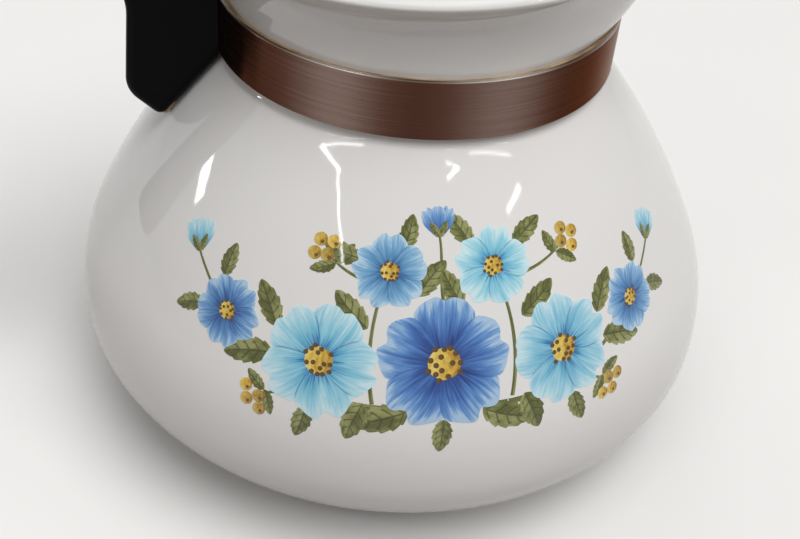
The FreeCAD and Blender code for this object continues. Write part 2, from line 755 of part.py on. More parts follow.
def repeat_round(body, feature, count):
    """Repeats a feature evenly about the body's upright axis."""
    pattern = body.newObject("PartDesign::PolarPattern", "PolarPattern")
    pattern.Originals = [feature]
    pattern.Axis = (next(f for f in body.Origin.OriginFeatures if f.Role == "Z_Axis"), [""])
    pattern.Angle = 360
    pattern.Occurrences = count
    body.Tip = pattern
    doc.recompute()


def drill_ring(body, underside, wall, circle, radius, count):
    """A ring of round holes, drilled upwards through a wall from just below its underside."""
    sketch = draw_circle(new_sketch(body, "XY_Plane", z=f"{underside} - drill_margin"), circle, "0", radius)
    hole = add_feature(body, "Pocket", sketch, Length=f"{wall} + 2 * drill_margin", Reversed=True)
    repeat_round(body, hole, count)


# Heights of the pump, upwards from the vessel's floor, and what has to pass through the neck.
BELL_RADIUS = f"({NECK_INNER} - bell_neck_gap)"
BASKET_RADIUS = f"({NECK_INNER} - basket_neck_gap)"
STEM_TOP = f"({LID_SEAT} - stem_lid_gap)"
BELL_FOOT = "(base_thickness + bell_foot_gap)"
BELL_TOP = f"({BELL_FOOT} + bell_height)"
VALVE_SEAT = f"({BELL_TOP} + seat_gap)"
VALVE_STOP = f"({VALVE_SEAT} + valve_thickness + valve_lift + seat_gap)"
BASKET_FLOOR = "(basket_bottom + basket_wall)"
BASKET_TOP = "(basket_bottom + basket_height)"
TUBE_BORE = "(stem_radius + basket_tube_gap)"


def make_pump():
    """The pump: a stem with a bead that stops the valve, on a cone-shaped bell that stands on the floor."""
    stem = new_body("pump_stem")
    bore = "(stem_radius - stem_wall)"
    bead = "(stem_radius + valve_stop_reach)"
    foot = f"{BELL_TOP} - bell_wall - stem_tail"
    turned(
        stem,
        [
            (bore, foot),
            ("stem_radius", foot),
            ("stem_radius", VALVE_STOP),
            (bead, VALVE_STOP),
            (bead, f"{VALVE_STOP} + valve_stop_height"),
            ("stem_radius", f"{VALVE_STOP} + valve_stop_height"),
            ("stem_radius", STEM_TOP),
            (bore, STEM_TOP),
        ],
    )
    bell = new_body("pump_bell")
    hub = "(stem_radius + seat_gap)"
    turned(
        bell,
        [
            (hub, f"{BELL_TOP} - bell_wall"),
            ("bell_hub_radius", f"{BELL_TOP} - bell_wall"),
            (f"{BELL_RADIUS} - bell_wall", BELL_FOOT),
            (BELL_RADIUS, BELL_FOOT),
            ("bell_hub_radius + bell_wall / 2", BELL_TOP),
            (hub, BELL_TOP),
        ],
    )
    underside = f"{BELL_TOP} - bell_wall"
    drill_ring(bell, underside, "bell_wall", "bell_port_circle", "bell_port_radius", BELL_PORTS)
    stop = new_body("basket_stop")
    low = "basket_bottom - seat_gap - stop_height"
    high = "basket_bottom - seat_gap"
    turned(stop, [(hub, low), ("stop_radius", low), ("stop_radius", high), (hub, high)])


def make_valve():
    """The loose disc that lies on the bell and lets hot water up only."""
    body = new_body("valve_disc")
    inner = "stem_radius + valve_inner_gap"
    top = f"{VALVE_SEAT} + valve_thickness"
    turned(body, [(inner, VALVE_SEAT), ("valve_radius", VALVE_SEAT), ("valve_radius", top), (inner, top)])


def make_basket():
    """The perforated coffee basket, with a tube up its middle that slides over the stem."""
    body = new_body("coffee_basket")
    tube_outer = f"{TUBE_BORE} + basket_wall"
    tube_top = f"{BASKET_TOP} - basket_tube_drop"
    inside = f"{BASKET_RADIUS} - basket_wall"
    turned(
        body,
        [
            (TUBE_BORE, "basket_bottom"),
            (BASKET_RADIUS, "basket_bottom"),
            (BASKET_RADIUS, BASKET_TOP),
            (inside, BASKET_TOP),
            (inside, BASKET_FLOOR),
            (tube_outer, BASKET_FLOOR),
            (tube_outer, tube_top),
            (TUBE_BORE, tube_top),
        ],
    )
    for ring, count in enumerate(BASKET_RING_COUNTS):
        circle = f"basket_first_ring + {ring} * basket_ring_pitch"
        drill_ring(body, "basket_bottom", "basket_wall", circle, "basket_hole_radius", count)


def make_cover():
    """The dished spreader plate that caps the basket and lets water drip through."""
    body = new_body("basket_cover")
    plate = f"({BASKET_TOP} + seat_gap)"
    dish = f"({plate} - cover_dish_depth)"
    dish_radius = f"({BASKET_RADIUS} - basket_wall - cover_rim_width)"
    lip_inner = f"({BASKET_RADIUS} + cover_gap)"
    lip_outer = f"({lip_inner} + cover_wall)"
    turned(
        body,
        [
            (TUBE_BORE, dish),
            (dish_radius, dish),
            (dish_radius, plate),
            (lip_inner, plate),
            (lip_inner, f"{plate} - cover_lip_drop"),
            (lip_outer, f"{plate} - cover_lip_drop"),
            (lip_outer, f"{plate} + cover_wall"),
            (f"{dish_radius} - cover_wall", f"{plate} + cover_wall"),
            (f"{dish_radius} - cover_wall", f"{dish} + cover_wall"),
            (TUBE_BORE, f"{dish} + cover_wall"),
        ],
    )
    for ring, count in enumerate(COVER_RING_COUNTS):
        circle = f"basket_first_ring + {ring} * basket_ring_pitch"
        drill_ring(body, dish, "cover_wall", circle, "basket_hole_radius", count)


def write_parts():
    """Checks every object and each sub-part's solid, then writes one file per sub-part."""
    doc.removeObject(reading.Name)
    doc.recompute()
    failed = [item.Label for item in doc.Objects if {"Invalid", "Error"} & set(item.State)]
    if failed:
        raise RuntimeError("failed objects: " + ", ".join(failed))
    for body in subparts:
        if body.Shape.isNull() or not body.Shape.isValid() or len(body.Shape.Solids) != 1:
            raise RuntimeError("bad solid: " + body.Label)
    os.makedirs("parts", exist_ok=True)
    for body in subparts:
        body.Shape.exportStep(f"parts/{body.Label}.step")


make_vessel()
make_liner()
make_band()
make_bracket()
make_handle()
make_screw()
make_washers()
make_rest_pad()
make_lid()
make_knob()
make_knob_fixing()
make_pump()
make_valve()
make_basket()
make_cover()
write_parts()
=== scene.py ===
"""Stove-top coffee pot with a printed swag of blue blossoms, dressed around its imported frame.

Row frame: +Z up, origin in the middle of the base, handle towards -X, pouring beak towards +X.
Lengths are in metres and angles in degrees, unless a comment or a docstring says otherwise.
"""
import math

import bpy
import numpy as np
from mathutils import Matrix, Vector


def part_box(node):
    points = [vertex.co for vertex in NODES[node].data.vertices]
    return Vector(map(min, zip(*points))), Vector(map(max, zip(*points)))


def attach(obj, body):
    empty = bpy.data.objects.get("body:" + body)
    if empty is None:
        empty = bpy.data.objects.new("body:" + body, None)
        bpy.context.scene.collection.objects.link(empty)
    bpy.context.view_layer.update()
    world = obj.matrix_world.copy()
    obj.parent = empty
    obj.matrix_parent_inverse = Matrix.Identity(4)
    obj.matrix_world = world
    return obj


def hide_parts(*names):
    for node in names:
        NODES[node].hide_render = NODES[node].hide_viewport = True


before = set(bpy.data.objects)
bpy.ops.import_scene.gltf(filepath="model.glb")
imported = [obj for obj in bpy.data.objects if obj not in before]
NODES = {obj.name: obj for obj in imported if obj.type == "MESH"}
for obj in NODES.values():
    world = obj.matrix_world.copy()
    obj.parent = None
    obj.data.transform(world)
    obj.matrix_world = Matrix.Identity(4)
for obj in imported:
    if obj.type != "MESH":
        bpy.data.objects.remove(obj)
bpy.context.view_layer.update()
MM = 0.001

# Vessel: what the frame's boxes give, then the sizes of the curves between.
BELLY_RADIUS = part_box("vessel")[1][1]
LIP_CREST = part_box("vessel")[1][2]
BAND_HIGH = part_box("neck_band")[1][2]
BASE_RADIUS = 38 * MM
BASE_THICKNESS = 5.5 * MM
BELLY_HEIGHT = 31 * MM
CROWN_ARC = 50 * MM
SHOULDER_ARC = 200 * MM
WALL = 4.5 * MM
NECK_RADIUS = 46.9 * MM
NECK_BOTTOM = 101.2 * MM
NECK_TOP = 118.2 * MM
RIM_RADIUS = 53.8 * MM
RIM_HEIGHT = 136.7 * MM
VESSEL_SIDES = 256

# Beak and rim: the beak spreads over the first angle at its foot and the second at the rim.
BEAK_FOOT = BAND_HIGH + 0.2 * MM
BEAK_REACH = 66.0 * MM
BEAK_POWER = 0.45
BEAK_SPREADS = (35.0, 28.0)
RIM_DIP = 4.6 * MM
RIM_EASE = 0.46
EASE_SPREAD = 30.0

# The photograph's frame and the camera that took it.
IMAGE_WIDTH = 800
FOCAL_PIXELS = 1199.2
CAMERA_AZIMUTH = -10.0
CAMERA_ELEVATION = 38.47
CAMERA_ROLL = 5.47
CAMERA_DISTANCE = 342.95 * MM
CAMERA_TARGET = Vector((2.0 * MM, -0.35 * MM, 27.9 * MM))
CAMERA_NEAR = 10 * MM
SENSOR_WIDTH = 36.0


def arc(centre, radius, start, end, count):
    """Points centre + radius * (cos, sin) with the angle running evenly from start to end, in radians.

    A radius given as a pair, across and up, makes the arc part of an ellipse.
    """
    angle = np.linspace(start, end, count)
    return centre + radius * np.stack([np.cos(angle), np.sin(angle)], axis=1)


def line(start, end, count):
    """Points spread evenly from start to end."""
    return np.linspace(start, end, count)


def join(*runs):
    """One run of points from several, dropping each first point that repeats the last."""
    kept = [runs[0]]
    for run in runs[1:]:
        same = np.allclose(kept[-1][-1], run[0], atol=1e-7)
        kept.append(run[1:] if same else run)
    return np.concatenate(kept)


def new_object(name, vertices, faces, body, material, slot):
    """A smooth mesh object at the origin that rides on a body and takes the finish it is given; its slot is
    not used.
    """
    mesh = bpy.data.meshes.new(name)
    mesh.from_pydata(vertices.tolist(), [], faces)
    mesh.polygons.foreach_set("use_smooth", np.full(len(mesh.polygons), True))
    mesh.materials.append(material)
    mesh.update()
    piece = bpy.data.objects.new(name, mesh)
    bpy.context.scene.collection.objects.link(piece)
    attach(piece, body)
    return piece


def grid_faces(rows, columns, wrap_columns=False, first=0):
    """Quads of a grid of vertices stored row by row: (row, column) to the next column and the next row."""
    column = np.arange(columns if wrap_columns else columns - 1)
    row, column = (a.ravel() for a in np.meshgrid(np.arange(rows - 1), column, indexing="ij"))
    here, below = row * columns, (row + 1) * columns
    beside = (column + 1) % columns
    return (np.stack([here + column, here + beside, below + beside, below + column], axis=1) + first).tolist()


def turned_surface(profile, sides, shape):
    """Points and faces of a profile (radius, height) turned about Z: point = (r cos a, r sin a, z).

    shape(r, z, a) bends r and z. The profile starts and ends on the axis, where fans of triangles close it.
    """
    rings = profile[1:-1]
    angle = np.linspace(0, 2 * np.pi, sides, endpoint=False)
    radius, height, turn = np.broadcast_arrays(rings[:, :1], rings[:, 1:], angle)
    radius, height = shape(radius, height, turn)
    points = np.stack([radius * np.cos(turn), radius * np.sin(turn), height], axis=2).reshape(-1, 3)
    faces = grid_faces(len(rings), sides, wrap_columns=True)
    circle = np.arange(sides)
    for end, ring in ((0, circle[::-1]), (-1, circle + (len(rings) - 1) * sides)):
        faces += np.stack([ring, np.roll(ring, -1), np.full(sides, len(points))], axis=1).tolist()
        points = np.vstack([points, [0, 0, profile[end, 1]]])
    return points, faces


def vessel_curves():
    """The crown's centre, the angle where the shoulder takes over, its centre, and the flare's radius.

    Crown and shoulder are arcs tangent to each other, and the shoulder's ends where the neck begins.
    """
    crown = np.array([BELLY_RADIUS - CROWN_ARC, BELLY_HEIGHT])
    step = SHOULDER_ARC - CROWN_ARC
    reach = np.array([NECK_RADIUS, NECK_BOTTOM]) - crown
    length = np.hypot(*reach)
    share = (SHOULDER_ARC**2 - step**2 - length**2) / (2 * step * length)
    turn = math.atan2(reach[1], reach[0]) - math.acos(share)
    shoulder = crown - step * np.array([math.cos(turn), math.sin(turn)])
    rise = RIM_HEIGHT - NECK_TOP
    flare = ((RIM_RADIUS - NECK_RADIUS) ** 2 + rise**2) / (2 * (RIM_RADIUS - NECK_RADIUS))
    return crown, turn, shoulder, flare


def vessel_outline():
    """The outside from the base's middle to the lip, and the whole profile on to the floor's middle inside.

    The foot is a quarter of an ellipse, from the edge of the flat base to the belly.
    """
    crown, turn, shoulder, flare = vessel_curves()
    foot_centre = (BASE_RADIUS, BELLY_HEIGHT)
    foot = np.array([BELLY_RADIUS - BASE_RADIUS, BELLY_HEIGHT])
    flare_centre = (NECK_RADIUS + flare, NECK_TOP)
    neck_angle = math.asin((NECK_BOTTOM - shoulder[1]) / SHOULDER_ARC)
    flare_angle = math.asin((RIM_HEIGHT - NECK_TOP) / flare)
    outside = join(
        line((0, 0), (BASE_RADIUS, 0), 8),
        arc(foot_centre, foot, -np.pi / 2, 0, 32),
        arc(crown, CROWN_ARC, 0, turn, 18),
        arc(shoulder, SHOULDER_ARC, turn, neck_angle, 30),
        line((NECK_RADIUS, NECK_BOTTOM), (NECK_RADIUS, BEAK_FOOT), 8),
        line((NECK_RADIUS, BEAK_FOOT), (NECK_RADIUS, NECK_TOP), 7),
        arc(flare_centre, flare, np.pi, np.pi - flare_angle, 16),
    )
    inner_flare = flare + WALL
    inner_angle = math.asin((RIM_HEIGHT - NECK_TOP) / inner_flare)
    lip_half = (outside[-1][0] - flare_centre[0] + inner_flare * math.cos(inner_angle)) / 2
    lip_middle = (outside[-1][0] - lip_half, RIM_HEIGHT)
    lip = arc(lip_middle, np.array([lip_half, LIP_CREST - RIM_HEIGHT]), 0, np.pi, 15)[1:-1]
    neck_inside = NECK_RADIUS - WALL
    inner_shoulder = SHOULDER_ARC - WALL
    inner_neck = math.acos((neck_inside - shoulder[0]) / inner_shoulder)
    inner_bottom = shoulder[1] + inner_shoulder * math.sin(inner_neck)
    inside = join(
        arc(flare_centre, inner_flare, np.pi - inner_angle, np.pi, 14),
        line((neck_inside, NECK_TOP), (neck_inside, BEAK_FOOT), 7),
        line((neck_inside, BEAK_FOOT), (neck_inside, inner_bottom), 6),
        arc(shoulder, inner_shoulder, inner_neck, turn, 16),
        arc(crown, CROWN_ARC - WALL, turn, 0, 10),
        arc(foot_centre, foot - (WALL, BASE_THICKNESS), 0, -np.pi / 2, 14),
        line((BASE_RADIUS, BASE_THICKNESS), (0, BASE_THICKNESS), 8),
    )
    return outside, join(outside, lip, inside)


def beak_shape(radius, height, turn):
    """Draws the flare out into the beak, and lets the rim dip away from it towards the handle.

    The radius grows by reach * climb^power * exp(-(angle / spread)^2), with climb from 0 at the strap's top
    to 1 at the rim. The height falls by dip * climb^2 * ((1 - cos(angle)) / 2)^2, and less where the handle's
    arm passes the rim.
    """
    climb = np.clip((height - BEAK_FOOT) / (RIM_HEIGHT - BEAK_FOOT), 0, 1)
    away = np.degrees(np.angle(np.exp(1j * turn)))
    low, high = BEAK_SPREADS
    swell = climb**BEAK_POWER * np.exp(-((away / (low + (high - low) * climb)) ** 2))
    ease = 1 - RIM_EASE * np.exp(-(((180 - np.abs(away)) / EASE_SPREAD) ** 2))
    dip = RIM_DIP * ease * climb**2 * ((1 - np.cos(turn)) / 2) ** 2
    return radius + (BEAK_REACH - RIM_RADIUS) * swell, height - dip


OUTSIDE, VESSEL_PROFILE = vessel_outline()


# Print: motifs are drawn flat, across and up in millimetres from its middle, and wrapped on the shoulder.
PRINT_AZIMUTH = 270.5
PRINT_HEIGHT = 66 * MM
PRINT_DEPTH = 0.12 * MM
PRINT_CREASE = 40
STEM_LIFT = 0.012 * MM
LEAF_LIFT = 0.020 * MM
PETAL_LIFT = 0.050 * MM
HEART_LIFT = 0.075 * MM
DOT_LIFT = 0.085 * MM
LAYER_STEP = 0.003 * MM
LEAF_STEP = 0.0005 * MM

# Strokes: rows along and columns across, and the shares that shape each kind.
PETAL_GRID = (16, 17)
LEAF_GRID = (31, 9)
STEM_GRID = (25, 3)
SPOT_GRID = (11, 7)
THINNEST = 1e-3
NOTCH_SPREAD = 0.22
PETAL_DROOP = 0.3
PETAL_TUCK = 0.16
PETAL_RUFFLE = 0.025
LEAF_FULLNESS = 1.9
LEAF_TEETH = 5.0
TOOTH_DEPTH = 0.22
STEM_TAPER = 0.45
STEM_TINT = 0.35
SPOT_TIP = 0.004


def body_lengths():
    """Length along the vessel's outside to each profile point, and the outward normal (dz, -dr) there."""
    step = np.diff(OUTSIDE, axis=0)
    length = np.concatenate([[0], np.cumsum(np.hypot(*step.T))])
    slope = np.gradient(OUTSIDE, length, axis=0)
    normal = np.stack([slope[:, 1], -slope[:, 0]], axis=1)
    return length, normal / np.hypot(*normal.T)[:, None]


BODY_LENGTH, BODY_NORMAL = body_lengths()
PRINT_LENGTH = np.interp(PRINT_HEIGHT, OUTSIDE[:, 1], BODY_LENGTH)


def wrap(centre, x, y, lift):
    """Drawing points (x, y), in millimetres about a motif's centre, on the vessel's outside, raised by lift.

    Angle = across / radius. A motif keeps its shape, so its points share the radius at its centre's height.
    A stem has no centre, and each of its points takes the radius at its own height.
    """
    middle = centre or (0, 0)
    along = PRINT_LENGTH + (middle[1] + y) * MM
    level = PRINT_LENGTH + middle[1] * MM if centre else along
    turn = (middle[0] + x) * MM / np.interp(level, BODY_LENGTH, OUTSIDE[:, 0])
    angle = math.radians(PRINT_AZIMUTH) + turn
    radius, height = (np.interp(along, BODY_LENGTH, OUTSIDE[:, i]) for i in (0, 1))
    out, rise = (np.interp(along, BODY_LENGTH, BODY_NORMAL[:, i]) for i in (0, 1))
    radius = radius + out * lift
    return np.stack([radius * np.cos(angle), radius * np.sin(angle), height + rise * lift], axis=-1)


class Paint:
    """Patches of one kind of brush stroke, gathered into a single thin mesh sunk a little into the glaze."""

    def __init__(self):
        self.vertices, self.faces, self.strokes, self.tints = [], [], [], []
        self.count = 0

    def add(self, centre, x, y, across, along, lift, tint, seed):
        """One patch: a grid x, y whose rows run along the stroke, closed underneath and at both ends."""
        rows, columns = x.shape
        top, bottom = (wrap(centre, x, y, depth) for depth in (lift, lift - PRINT_DEPTH))
        ring = np.concatenate([top, bottom[:, ::-1]], axis=1)
        width = 2 * columns
        self.faces += grid_faces(rows, width, wrap_columns=True, first=self.count)
        column = np.arange(columns - 1)
        end = np.stack([column, column + 1, width - 2 - column, width - 1 - column], axis=1) + self.count
        self.faces += end[:, ::-1].tolist() + (end + (rows - 1) * width).tolist()
        stroke = np.stack([across, along, np.full_like(x, seed)], axis=-1)
        self.strokes.append(np.concatenate([stroke, stroke[:, ::-1]], axis=1).reshape(-1, 3))
        self.tints.append(np.full(rows * width, tint))
        self.vertices.append(ring.reshape(-1, 3))
        self.count += rows * width

    def finish(self, name, material):
        """The gathered patches as one piece on the pot, with stroke coordinates and tint as attributes."""
        piece = new_object(name, np.concatenate(self.vertices), self.faces, "pot", material, "white_glaze")
        piece.data.set_sharp_from_angle(angle=math.radians(PRINT_CREASE))
        stroke = piece.data.attributes.new("stroke", "FLOAT_VECTOR", "POINT")
        stroke.data.foreach_set("vector", np.concatenate(self.strokes).ravel().astype(np.float32))
        tint = piece.data.attributes.new("tint", "FLOAT", "POINT")
        tint.data.foreach_set("value", np.concatenate(self.tints).astype(np.float32))


def stroke_grid(rows, columns):
    """Coordinates of a stroke: across from -1 to 1, along from 0 to 1, as two grids."""
    return np.meshgrid(np.linspace(-1, 1, columns), np.linspace(0, 1, rows))


def turn_about(x, y, degrees):
    """The drawing turned anticlockwise."""
    c, s = math.cos(math.radians(degrees)), math.sin(math.radians(degrees))
    return x * c - y * s, x * s + y * c


def add_petal(paint, centre, direction, sizes, notch, layer, tint, seed):
    """A round petal of lines that fan out from its foot; sizes are its start, length and half width.

    Line u across ends at length * (1 - notch * e^(-(u / spread)^2) - droop * |u|^2.6), and the sine of
    7 u + 9 seed ruffles it. At v along it lies at u * half width * v^0.62 * (1 - tuck * v^5) to the side.
    """
    across, along = stroke_grid(*PETAL_GRID)
    start, length, half_width = sizes
    ruffle = 1 + PETAL_RUFFLE * np.sin(7 * across + 9 * seed)
    dent = notch * np.exp(-((across / NOTCH_SPREAD) ** 2))
    reach = length * (1 - dent - PETAL_DROOP * np.abs(across) ** 2.6) * ruffle
    x = across * half_width * np.maximum(along, THINNEST) ** 0.62 * (1 - PETAL_TUCK * along**5)
    x, y = turn_about(x, start + reach * along, direction - 90)
    paint.add(centre, x, y, across, along, PETAL_LIFT + layer * LAYER_STEP, tint, seed)


def add_leaf(paint, centre, direction, length, half_width, bend, tint, seed, layer):
    """A pointed leaf whose half width is W v^0.6 (1 - v)^0.75 with a toothed edge, its rib bending by v^2."""
    across, along = stroke_grid(*LEAF_GRID)
    teeth = 1 + TOOTH_DEPTH * ((along * LEAF_TEETH) % 1.0 - 0.5)
    swell, taper = (np.maximum(share, THINNEST) for share in (along, 1 - along))
    wide = LEAF_FULLNESS * half_width * swell**0.6 * taper**0.75 * teeth
    x, y = turn_about(across * wide + bend * length * along**2, length * along, direction - 90)
    paint.add(centre, x, y, across, along, LEAF_LIFT + layer * LEAF_STEP, tint, seed)


def add_stem(paint, points, half_width, seed):
    """A stem on the curve (1-t)^3 A + 3 t (1-t)^2 B + 3 t^2 (1-t) C + t^3 D, slimmer towards its tip."""
    across, along = stroke_grid(*STEM_GRID)
    a, b, c, d = (np.array(p)[:, None, None] for p in points)
    rest = 1 - along
    curve = rest**3 * a + 3 * along * rest**2 * b + 3 * along**2 * rest * c + along**3 * d
    run = np.gradient(curve, axis=1)
    side = np.stack([run[1], -run[0]]) / np.hypot(run[0], run[1])
    x, y = curve + side * across * half_width * (1 - STEM_TAPER * along)
    paint.add(None, x, y, across, along, STEM_LIFT, STEM_TINT, seed)


def add_spot(paint, centre, radius, lift, tint, seed):
    """A round spot as a lens of strokes: half width = R (1 - (2v - 1)^2)^0.5."""
    across, along = stroke_grid(*SPOT_GRID)
    reach = 2 * along - 1
    x = across * radius * np.sqrt(np.maximum(1 - reach**2, SPOT_TIP))
    paint.add(centre, x, radius * reach, across, along, lift, tint, seed)


# Finishes: plain values and inks that several of them share, and the strap's own.
NOISE_ROUGHNESS = 0.55
GLAZE_GLOSS = {"Roughness": 0.05, "IOR": 1.52, "Specular_IOR_Level": 0.5}
INK_BLUE = (0.012, 0.075, 0.330)
LEAF_INK = (0.040, 0.050, 0.008)
DOT_BROWN = (0.055, 0.022, 0.006)
# Upright zones of painted reflection on the strap, light and dark where surroundings would mirror in it:
# waves round it, where they start, and their depth.
BAND_REFLECTION_WAVES = [(8, 314, 0.12), (2, -8, 0.03)]
BAND_EDGE = 0.3 * MM


class NodeTree:
    """Short calls for the shader nodes that the finishes, the floor and the room are made of."""

    def __init__(self, tree):
        self.nodes, self.links = tree.nodes, tree.links

    def feed(self, socket, item):
        """Links a socket to another node's output, or sets a plain number or (r, g, b) on it."""
        if isinstance(item, bpy.types.NodeSocket):
            self.links.new(item, socket)
        else:
            socket.default_value = (*item, 1) if socket.type == "RGBA" else item

    def math(self, operation, *items, clamp=False):
        """A Math node's result from sockets or plain numbers."""
        node = self.nodes.new("ShaderNodeMath")
        node.operation = operation
        node.use_clamp = clamp
        for socket, item in zip(node.inputs, items):
            self.feed(socket, item)
        return node.outputs[0]

    def scaled(self, value, factor, offset):
        """factor * value + offset."""
        return self.math("ADD", self.math("MULTIPLY", value, factor), offset)

    def above(self, value, start, gain):
        """gain * (value - start), kept from 0 to 1."""
        return self.math("MULTIPLY", self.math("SUBTRACT", value, start), gain, clamp=True)

    def place(self):
        """The piece's own coordinates."""
        return self.nodes.new("ShaderNodeTexCoord").outputs["Object"]

    def split(self, vector):
        """A vector's three parts."""
        node = self.nodes.new("ShaderNodeSeparateXYZ")
        self.links.new(vector, node.inputs["Vector"])
        return node.outputs

    def noise(self, vector, scale, detail=3.0, stretch=None):
        """A noise texture's value on a vector, which may be stretched by its own amount along each axis."""
        if stretch:
            mapping = self.nodes.new("ShaderNodeMapping")
            mapping.inputs["Scale"].default_value = stretch
            self.links.new(vector, mapping.inputs["Vector"])
            vector = mapping.outputs["Vector"]
        node = self.nodes.new("ShaderNodeTexNoise")
        node.inputs["Scale"].default_value = scale
        node.inputs["Detail"].default_value = detail
        node.inputs["Roughness"].default_value = NOISE_ROUGHNESS
        self.links.new(vector, node.inputs["Vector"])
        return node.outputs["Fac"]

    def ramp(self, factor, *stops):
        """A colour ramp's colour: stops are (position, (r, g, b))."""
        node = self.nodes.new("ShaderNodeValToRGB")
        while len(node.color_ramp.elements) < len(stops):
            node.color_ramp.elements.new(1.0)
        for element, (position, colour) in zip(node.color_ramp.elements, stops):
            element.position = position
            element.color = (*colour, 1)
        self.links.new(factor, node.inputs["Fac"])
        return node.outputs["Color"]

    def mix(self, factor, first, second):
        """A colour between two, each a socket or (r, g, b)."""
        node = self.nodes.new("ShaderNodeMix")
        node.data_type = "RGBA"
        sockets = {socket.identifier: socket for socket in (*node.inputs, *node.outputs)}
        for name, item in (("Factor_Float", factor), ("A_Color", first), ("B_Color", second)):
            self.feed(sockets[name], item)
        return sockets["Result_Color"]

    def seen(self):
        """1 for rays that show a surface directly, in gloss or through glass, 0 for rays that light it."""
        ray = self.nodes.new("ShaderNodeLightPath").outputs
        shown = self.math("ADD", ray["Is Camera Ray"], ray["Is Glossy Ray"])
        return self.math("ADD", shown, ray["Is Transmission Ray"], clamp=True)


class Finish(NodeTree):
    """A node material whose shader's plain values are set on its own sockets."""

    def __init__(self, name, **settings):
        self.material = bpy.data.materials.new(name)
        self.material.use_nodes = True
        super().__init__(self.material.node_tree)
        self.shader = self.nodes["Principled BSDF"]
        for socket, setting in settings.items():
            self.feed(self.shader.inputs[socket.replace("_", " ")], setting)

    def colour(self, source):
        """Sets the surface's colour."""
        self.links.new(source, self.shader.inputs["Base Color"])

    def roughness(self, source):
        """Sets the surface's roughness."""
        self.links.new(source, self.shader.inputs["Roughness"])

    def bump(self, height, strength, distance):
        """Turns a height into the shader's normal."""
        node = self.nodes.new("ShaderNodeBump")
        node.inputs["Strength"].default_value = strength
        node.inputs["Distance"].default_value = distance
        self.links.new(height, node.inputs["Height"])
        self.links.new(node.outputs["Normal"], self.shader.inputs["Normal"])

    def attribute(self, name, output):
        """One of the print's own attributes."""
        node = self.nodes.new("ShaderNodeAttribute")
        node.attribute_name = name
        return node.outputs[output]


def white_glaze():
    """Glossy white glaze: a faint drift of tone, and the slightest orange-peel in its surface."""
    glaze = Finish("white_glaze", **GLAZE_GLOSS)
    place = glaze.place()
    drift = glaze.noise(place, scale=9.0)
    glaze.colour(glaze.ramp(drift, (0.3, (0.80, 0.78, 0.76)), (0.7, (0.84, 0.825, 0.81))))
    glaze.bump(glaze.noise(place, scale=52.0, detail=2.0), strength=0.14, distance=0.9 * MM)
    return glaze.material


def petal_paint():
    """Brushed petal colour: deep at the heart, paler outwards, streaked along, with ink lines at its foot."""
    paint = Finish("petal_paint", **GLAZE_GLOSS)
    stroke = paint.attribute("stroke", "Vector")
    across, along, _ = paint.split(stroke)
    fine = paint.noise(stroke, scale=2.2, detail=4.0, stretch=(5.0, 0.8, 40.0))
    broad = paint.noise(stroke, scale=1.5, detail=2.0, stretch=(1.6, 0.9, 70.0))
    streak = paint.math("SUBTRACT", fine, 0.5)
    wash = paint.math("MULTIPLY", paint.math("SUBTRACT", broad, 0.5), 0.8)
    shade = paint.math("ADD", along, paint.math("ADD", streak, wash))
    sky = paint.ramp(
        shade, (0.04, (0.030, 0.190, 0.470)), (0.20, (0.105, 0.420, 0.640)), (0.45, (0.230, 0.590, 0.750)),
        (0.72, (0.385, 0.715, 0.820)), (1.0, (0.640, 0.850, 0.890)))
    blue = paint.ramp(
        shade, (0.08, (0.010, 0.026, 0.150)), (0.30, (0.024, 0.085, 0.330)), (0.56, (0.060, 0.185, 0.510)),
        (0.80, (0.150, 0.330, 0.640)), (1.0, (0.420, 0.590, 0.790)))
    colour = paint.mix(paint.attribute("tint", "Fac"), sky, blue)
    nib = paint.noise(stroke, scale=1.6, detail=1.0, stretch=(9.0, 0.7, 90.0))
    ink = paint.above(nib, start=paint.scaled(along, 0.55, 0.44), gain=16.0)
    rim = paint.above(paint.math("ABSOLUTE", across), start=0.93, gain=18.0)
    inward = paint.math("MULTIPLY", paint.math("SUBTRACT", 0.9, along), 6.0, clamp=True)
    rim = paint.math("MULTIPLY", rim, inward)
    drawn = paint.math("MAXIMUM", ink, paint.math("MULTIPLY", rim, 0.75))
    paint.colour(paint.mix(paint.math("MULTIPLY", drawn, 0.8), colour, INK_BLUE))
    return paint.material


def leaf_paint():
    """Olive leaf colour in flat washes: one half darker, with dark slanting veins and a dark rib."""
    paint = Finish("leaf_paint", **GLAZE_GLOSS)
    stroke = paint.attribute("stroke", "Vector")
    across, along, _ = paint.split(stroke)
    patch = paint.noise(stroke, scale=1.3, detail=2.0, stretch=(1.2, 2.4, 60.0))
    shade = paint.scaled(paint.math("SIGN", across), 0.10, patch)
    shade = paint.scaled(paint.attribute("tint", "Fac"), 0.14, shade)
    colour = paint.ramp(
        shade, (0.40, (0.105, 0.118, 0.022)), (0.50, (0.150, 0.165, 0.036)), (0.60, (0.215, 0.230, 0.065)),
        (0.76, (0.330, 0.335, 0.125)))
    off_rib = paint.math("ABSOLUTE", across)
    slant = paint.math("SUBTRACT", along, paint.math("MULTIPLY", off_rib, 0.20))
    wave = paint.math("SINE", paint.math("MULTIPLY", slant, 31.0))
    inside = paint.math("LESS_THAN", off_rib, 0.78)
    vein = paint.math("MULTIPLY", paint.above(wave, start=0.72, gain=5.0), inside)
    rib = paint.math("LESS_THAN", off_rib, 0.075)
    drawn = paint.math("MAXIMUM", vein, rib)
    paint.colour(paint.mix(paint.math("MULTIPLY", drawn, 0.72), colour, LEAF_INK))
    return paint.material


